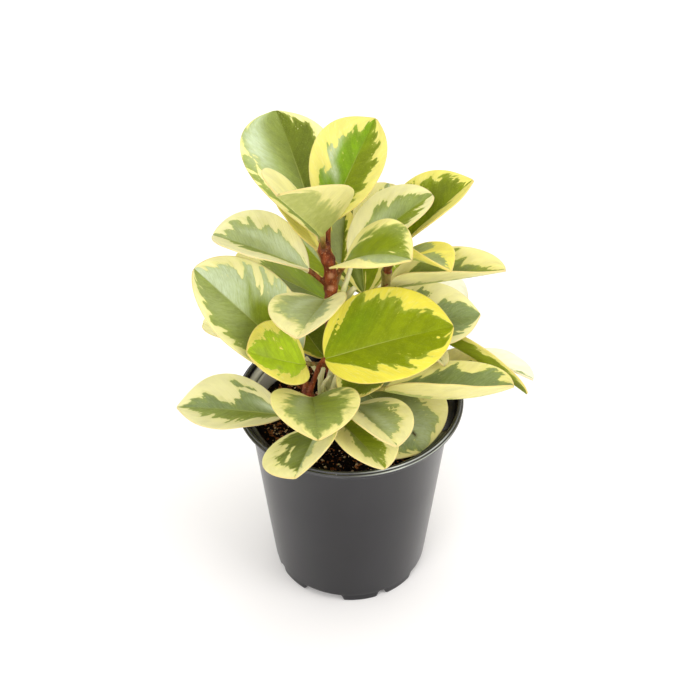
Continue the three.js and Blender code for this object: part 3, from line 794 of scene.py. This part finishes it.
def blade_relief(blade, s, v, from_rib):
    """Heights of the top and the bottom over the curved sheet: waves, thickness, groove and midrib."""
    draw = random.Random(blade.number)
    phases = [draw.uniform(0, 2 * math.pi) for _ in range(3)]
    ripple = np.sin(9 * s + phases[0] + np.sign(v)) + 0.6 * np.sin(17 * s + phases[1] - np.sign(v))
    pucker = np.sin(2 * math.pi * vein_place(s, v) * VEINS + phases[2])
    wave = EDGE_WAVE * ripple * np.abs(v) ** 3 * np.sin(math.pi * np.clip(s, 0, 1))
    wave += PUCKER * pucker * np.abs(v) * (1 - np.abs(v))
    thick = BLADE_THICKNESS / 2 * (1 - 0.5 * np.abs(v) ** 8)
    thick = thick + BASE_SWELLING * np.exp(-((s / 0.08) ** 2)) * np.exp(-((from_rib / 1.6) ** 2))
    groove = GROOVE_DEPTH * np.exp(-((from_rib / 0.7) ** 2)) * (1 - 0.75 * s)
    rib = RIB_HEIGHT * np.exp(-((from_rib / 0.9) ** 2)) * (1 - 0.85 * s)
    return wave + thick - groove, wave - thick - rib


def sheet_quads(grid):
    """Quads of a blade's top over a grid of point numbers, and of its bottom below them."""
    faces = []
    for i in range(len(grid) - 1):
        for j in range(len(grid[0]) - 1):
            quad = (grid[i, j], grid[i, j + 1], grid[i + 1, j + 1], grid[i + 1, j])
            faces += [quad, tuple(k + grid.size for k in reversed(quad))]
    return faces


def blade_mesh(blade):
    """Points, faces and attributes of one thick blade with a rounded rim."""
    turn = np.pi * np.arange(BLADE_STEPS + 1) / BLADE_STEPS
    steps = (1 - np.cos(turn)) / 2 * (1 - 2 * RIM_BULGE / blade.length)
    across = columns_across() * (1 - 2 * RIM_BULGE / blade.half_width)
    s, v = (places.ravel() for places in np.meshgrid(steps, across, indexing="ij"))
    sheet, facing = blade.point(s, v), blade.normal(s, v)
    wide = blade.half_width_at(s)
    from_rib = np.abs(v) * wide
    from_edge = np.minimum((1 - np.abs(v)) * wide, (1 - s) * blade.length)
    top, bottom = blade_relief(blade, s, v, from_rib)
    points = np.concatenate([sheet + facing * top[:, None], sheet + facing * bottom[:, None]])
    values = {**markings(blade, s, v), "edge": from_edge, "across": from_rib}
    values = {key: np.concatenate([one, one]) for key, one in values.items()}
    values["under"] = np.concatenate([np.zeros_like(s), np.ones_like(s)])

    grid = np.arange(len(s)).reshape(len(steps), len(across))
    faces = sheet_quads(grid)
    ring = np.concatenate([grid[0, :-1], grid[:-1, -1], grid[-1, :0:-1], grid[:0:-1, 0]])
    under, first, count = len(s), 2 * len(s), len(ring)
    middle = (points[ring] + points[ring + under]) / 2
    inward = np.cross(facing[ring], np.roll(middle, -1, 0) - np.roll(middle, 1, 0))
    inward /= np.maximum(np.linalg.norm(inward, axis=1, keepdims=True), 1e-9)
    points = np.concatenate([points, middle - inward * RIM_BULGE])
    values = {key: np.concatenate([one, one[ring]]) for key, one in values.items()}
    values["under"][first:] = 0.5
    values["edge"][first:] = 0.0
    for k in range(count):
        after = (k + 1) % count
        faces.append((ring[k], first + k, first + after, ring[after]))
        faces.append((first + k, ring[k] + under, ring[after] + under, first + after))
    return points, [tuple(int(k) for k in face) for face in faces], values


def make_blades(blades):
    material = blade_material()
    for blade in blades:
        name = f"blade_{blade.number:02d}"
        points, faces, values = blade_mesh(blade)
        build_object(name, points, faces, material, blade.node, values)


# Stems
def smooth_path(points, count):
    """A smooth Catmull-Rom curve through the points."""
    points = [np.array(p, float) for p in points]
    ends = [2 * points[0] - points[1], *points, 2 * points[-1] - points[-2]]
    line = []
    pieces = len(points) - 1
    for k in range(count + 1):
        at = min(k / count * pieces, pieces - 1e-9)
        i, t = int(at), at - int(at)
        a, b, c, d = ends[i:i + 4]
        line.append(0.5 * (2 * b + (c - a) * t + (2 * a - 5 * b + 4 * c - d) * t * t
                           + (3 * b - a - 3 * c + d) * t ** 3))
    return np.array(line)


def tube(line, radii, sides=14):
    """Points and faces of a closed tube along a line, with flat ends."""
    line = np.asarray(line, float)
    onward = np.gradient(line, axis=0)
    onward /= np.linalg.norm(onward, axis=1, keepdims=True)
    side = np.cross(onward[0], (0.31, 0.94, 0.12))
    points = []
    for k, place in enumerate(line):
        side = side - onward[k] * np.dot(side, onward[k])
        side /= np.linalg.norm(side)
        other = np.cross(onward[k], side)
        for j in range(sides):
            turn = 2 * math.pi * j / sides
            points.append(place + radii[k] * (math.cos(turn) * side + math.sin(turn) * other))
    last = (len(line) - 1) * sides
    faces = [(low + j, low + (j + 1) % sides, low + sides + (j + 1) % sides, low + sides + j)
             for low in range(0, last, sides) for j in range(sides)]
    return np.array(points), [*faces, tuple(reversed(range(sides))), tuple(range(last, last + sides))]


def petiole_line(stem_line, blade, count=18):
    """A petiole's curve, from its stem at the blade's height to just inside the blade's base."""
    root = stem_line[np.argmin(np.abs(stem_line[:, 2] - blade.height))]
    along = blade.frame(np.zeros(1))[0][0]
    end = blade.base + along * PETIOLE_SEAT
    reach = np.linalg.norm(end - root) / 3
    outward = (end - root) / np.linalg.norm(end - root)
    a, b = root + outward * reach, end - along * reach / 2
    t = np.linspace(0, 1, count)[:, None]
    return (1 - t) ** 3 * root + 3 * t * (1 - t) ** 2 * a + 3 * t * t * (1 - t) * b + t ** 3 * end


def stem_radii(line, radius, heights):
    """A stem's radius along its line, with a low ring at each leaf and a rounded growing tip."""
    radii = np.full(len(line), radius * 0.96)
    for height in heights:
        radii += 0.35 * np.exp(-(((line[:, 2] - height) / 1.6) ** 2))
    left = line[-1, 2] - line[:, 2]
    return radii * np.clip(0.35 + left / 5, 0.35, 1)


def make_stem(node, blades, material):
    """One stem with its shoots and petioles, fused into a single skin."""
    radius, through = STEMS[node]
    line = smooth_path(through, 90)
    carried = [blade for blade in blades if blade.stem == node]
    green = STEM_GREEN.get(node, 0.0)
    lines = [(line, stem_radii(line, radius, [blade.height for blade in carried]), green, green)]
    for through, wide in SHOOTS.get(node, ()):
        shoot = smooth_path(through, 24)
        lines.append((shoot, np.linspace(wide, 0.6 * wide, len(shoot)), 1.1, 1.9))
    for blade in carried:
        route = petiole_line(line, blade)
        t = np.linspace(0, 1, len(route))
        radii = PETIOLE_RADIUS * (1 + 0.45 * np.exp(-((t / 0.18) ** 2)) - 0.12 * np.sin(math.pi * t))
        red = RED_PETIOLES.get(blade.number, random.Random(blade.node).uniform(0.0, 0.5))
        lines.append((route, radii, 0.0, 1 - red))
    points, faces = [], []
    for route, radii, _, _ in lines:
        more, quads = tube(route, radii)
        faces += [tuple(len(points) + k for k in face) for face in quads]
        points += more.tolist()
    made = build_object(node.replace("stem", "stalk"), points, faces, material, node, {})
    remesh = made.modifiers.new("fuse", "REMESH")
    remesh.mode = "VOXEL"
    remesh.voxel_size = FUSING_STEP * MM
    remesh.use_smooth_shade = True
    smooth = made.modifiers.new("soften", "SMOOTH")
    smooth.factor = 0.5
    smooth.iterations = 3
    apply_modifiers(made)
    colour_stem(made, lines)


def colour_stem(made, lines):
    """Petioles turn from the stem's red to leaf green, each by its own share."""
    count = len(made.data.vertices)
    place = np.zeros(count * 3)
    made.data.vertices.foreach_get("co", place)
    place = (place.reshape(-1, 3) - AXIS) / MM
    nearest = np.full(count, 1e9)
    green = np.zeros(count)
    for route, _, low, high in lines:
        shares = low + (high - low) * np.linspace(0, 1, len(route)) ** 1.5
        for spot, share in zip(route, shares):
            away = np.linalg.norm(place - spot, axis=1)
            closer = away < nearest
            nearest[closer] = away[closer]
            green[closer] = share
    scar = np.zeros(count)
    for spot in SCARS:
        scar = np.maximum(scar, np.exp(-((np.linalg.norm(place - spot, axis=1) / 1.4) ** 4)))
    set_attributes(made.data, {"greenness": green, "scar": scar})


# Soil
def on_circle(radius, turn):
    return radius * math.cos(turn), radius * math.sin(turn)


def soil_height(x, y):
    low = 0.5 * np.sin(0.41 * x + 0.23 * y + 1.1) + 0.4 * np.sin(0.19 * x - 0.52 * y + 2.7)
    fine = 0.28 * np.sin(1.7 * x + 0.9 * y) * np.sin(1.3 * y - 0.6 * x + 0.8)
    return SOIL_TOP - 0.4 + low + fine


def make_soil():
    draw = random.Random(11)
    soil_low, soil_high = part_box("soil")
    top_radius = (soil_high.x - soil_low.x) / 2 / MM
    bottom = soil_low.z / MM
    bottom_radius = FOOT_RADIUS - WALL_THICKNESS
    sides = SOIL_SIDES
    turns = [2 * math.pi * k / sides for k in range(sides)]
    points = [(0.0, 0.0, float(soil_height(0, 0)))]
    for i in range(1, SOIL_RINGS + 1):
        for turn in turns:
            x, y = on_circle(top_radius * i / SOIL_RINGS, turn)
            grit = draw.uniform(-0.3, 0.3) * (i < SOIL_RINGS)
            points.append((x, y, min(float(soil_height(x, y)) + grit, SOIL_TOP + 1)))
    points += [(*on_circle(bottom_radius, turn), bottom) for turn in turns]
    points.append((0.0, 0.0, bottom))
    faces = [(0, 1 + k, 1 + (k + 1) % sides) for k in range(sides)]
    for i in range(SOIL_RINGS):
        faces += ring_quads(1 + i * sides, 1 + (i + 1) * sides, sides)
    last = len(points) - 1
    faces += [(last, last - sides + (k + 1) % sides, last - sides + k) for k in range(sides)]
    kinds = [0.0] * len(points)
    for _ in range(SOIL_CHIPS):
        add_chip(draw, points, faces, kinds, top_radius - 2.5)
    build_object("potting_mix", points, faces, soil_material(), "soil", {"kind": kinds})


def add_chip(draw, points, faces, kinds, reach):
    """A small bark, fibre or clay chip, half sunk in the soil. Most of the bark lies on the left."""
    x, y = on_circle(reach * math.sqrt(draw.random()), draw.uniform(0, 2 * math.pi))
    size = draw.choice(CHIP_SIZES)
    half = np.array([size * draw.uniform(*span) for span in ((0.7, 1.6), (0.5, 0.9), (0.35, 0.7))])
    spin, tip = draw.uniform(0, math.pi), draw.uniform(-0.5, 0.5)
    ahead = np.array([math.cos(spin) * math.cos(tip), math.sin(spin) * math.cos(tip), math.sin(tip)])
    beside = np.array([-math.sin(spin), math.cos(spin), 0.0])
    above = np.cross(ahead, beside)
    centre = np.array([x, y, float(soil_height(x, y)) + 0.25 * half[2]])
    first = len(points)
    for k in range(8):
        corner = [draw.uniform(0.6, 1.0) * (1 if k >> axis & 1 else -1) for axis in range(3)]
        spot = centre + sum(c * h * a for c, h, a in zip(corner, half, (ahead, beside, above)))
        points.append(tuple(spot))
    box = [(0, 2, 3, 1), (4, 5, 7, 6), (0, 1, 5, 4), (2, 6, 7, 3), (0, 4, 6, 2), (1, 3, 7, 5)]
    faces += [tuple(first + k for k in face) for face in box]
    common = (BARK, BARK, BARK, PALE) if x < BARK_SIDE else (EARTH, EARTH, EARTH, BARK, BARK, PALE)
    kinds += [draw.choice(common)] * 8


# Pot
def notch_share(angle):
    """0 on a foot and 1 inside a notch, with slanted ends."""
    best = 0.0
    for centre, span in NOTCHES:
        away = abs((angle - centre + NOTCH_REPEAT / 2) % NOTCH_REPEAT - NOTCH_REPEAT / 2)
        best = max(best, min(1.0, max(0.0, (span / 2 - away) / NOTCH_SLANT + 0.5)))
    return best


def notched(angle, radius, height):
    """The height of a point of the pot, raised where it lies in a notch of the foot ring."""
    if height > NOTCH_HEIGHT or radius < FOOT_RADIUS - FOOT_RING_WIDTH - 1:
        return height
    return height + (NOTCH_HEIGHT - height) * notch_share(angle)


def is_lining(x, y, height):
    """Whether a point lies on the pot's inner wall, above the soil."""
    reach = WALL_TOP_RADIUS - WALL_THICKNESS / 2
    if height > COLLAR_FOOT + 1:
        reach = RIM_RADIUS - LIP_WIDTH - 0.2
    return height > SOIL_TOP - 3 and math.hypot(x, y) < reach


def pot_section():
    """The pot's section from its axis out under the floor, up the wall and back inside, with roundings."""
    foot, ring, wall, thick = FOOT_RADIUS, FOOT_RING_WIDTH, WALL_TOP_RADIUS, WALL_THICKNESS
    collar, shoulder, rim, lip = COLLAR_RADIUS, COLLAR_FOOT, RIM_RADIUS, LIP_WIDTH
    top, under, floor = POT_HEIGHT, FLOOR_UNDERSIDE, FLOOR_UNDERSIDE + FLOOR_THICKNESS
    bead, foot_edge, flare = POT_HEIGHT - BEAD_HEIGHT, NOTCH_HEIGHT + 0.3, WALL_TOP_RADIUS - FOOT_RADIUS
    return [
        (0.001, under, 0),
        (foot - ring, under, 0.4),
        (foot - ring, 0, 0.5),
        (foot - 0.5, 0, 0.6),
        (foot - 0.35, foot_edge - 0.2, 0),
        (foot + 0.25, foot_edge, 0.35),
        (foot + 0.4, foot_edge + 1.0, 0.3),
        (foot + flare * 0.3, shoulder * 0.3, 0),
        (foot + flare * 0.65, shoulder * 0.65, 0),
        (wall, shoulder - 0.6, 0.5),
        (collar - 0.2, shoulder + 0.1, 0.3),
        (collar + 0.4, shoulder + 0.5, 0.4),
        (collar + 0.4, shoulder + 1.1, 0.4),
        (collar - 0.5, shoulder + 1.7, 0.3),
        (collar - 0.3, bead, 0.4),
        (rim, bead + 0.1, 0.7),
        (rim, bead + 1.3, 0.6),
        (rim - 0.9, bead + 1.35, 0.3),
        (rim - 1.2, top, 0.6),
        (rim - lip + 0.5, top, 0.7),
        (rim - lip, top - 0.9, 0.6),
        (collar - thick, shoulder + 1.6, 1.0),
        (wall - thick, shoulder, 1.0),
        (wall - thick - 4, shoulder * 0.6, 0),
        (foot - thick + 0.6, floor, 1.2),
        (0.001, floor, 0),
    ]


def make_pot():
    points, faces = lathe(rounded(pot_section()), POT_SIDES, notched)
    lining = [is_lining(*point) for point in points]
    shell = build_object("nursery_pot", points, faces, pot_material(), "pot", {"lining": lining})
    shell.data.set_sharp_from_angle(angle=math.radians(50))


# Stage, light and camera
def make_stage():
    bpy.ops.mesh.primitive_plane_add(size=FLOOR_SIZE)
    floor = bpy.context.object
    floor.name = "floor"
    g = Graph("pale_floor")
    floor.data.materials.append(g.finish(Base_Color=srgb(255, 252, 250), Roughness=0.9))
    world = bpy.data.worlds.new("studio")
    bpy.context.scene.world = world
    world.use_nodes = True
    sky = world.node_tree.nodes["Background"]
    sky.inputs["Color"].default_value = (1, 1, 1, 1)
    sky.inputs["Strength"].default_value = SKY_STRENGTH
    for name, (place, strength, spread) in LIGHTS.items():
        add_sun(name, place, strength, spread)


def add_sun(name, place, strength, spread):
    """A far, soft lamp that shines from the given side toward the plant."""
    light = bpy.data.lights.new(name, "SUN")
    light.energy = strength
    light.angle = math.radians(spread)
    lamp = add_to_scene(name, light)
    lamp.location = place
    lamp.rotation_euler = (-Vector(place)).to_track_quat("-Z", "Y").to_euler()


def make_camera():
    camera = bpy.data.cameras.new("camera")
    camera.lens = CAMERA_LENS
    camera.sensor_width = 36
    camera.clip_start = 0.05
    camera.clip_end = 20
    seen_from = add_to_scene("camera", camera)
    seen_from.location = [a + b for a, b in zip(AXIS, CAMERA_PLACE)]
    seen_from.rotation_euler = (math.radians(90 - CAMERA_PITCH), 0, 0)
    bpy.context.scene.camera = seen_from


bpy.context.scene.view_settings.view_transform = "Standard"
make_camera()
make_stage()
blades = [Blade(stem, row) for stem, rows in BLADES.items() for row in rows]
blades.sort(key=lambda blade: blade.number)
make_blades(blades)
stem_finish = stem_material()
for stem_node in STEMS:
    make_stem(stem_node, blades, stem_finish)
make_soil()
make_pot()
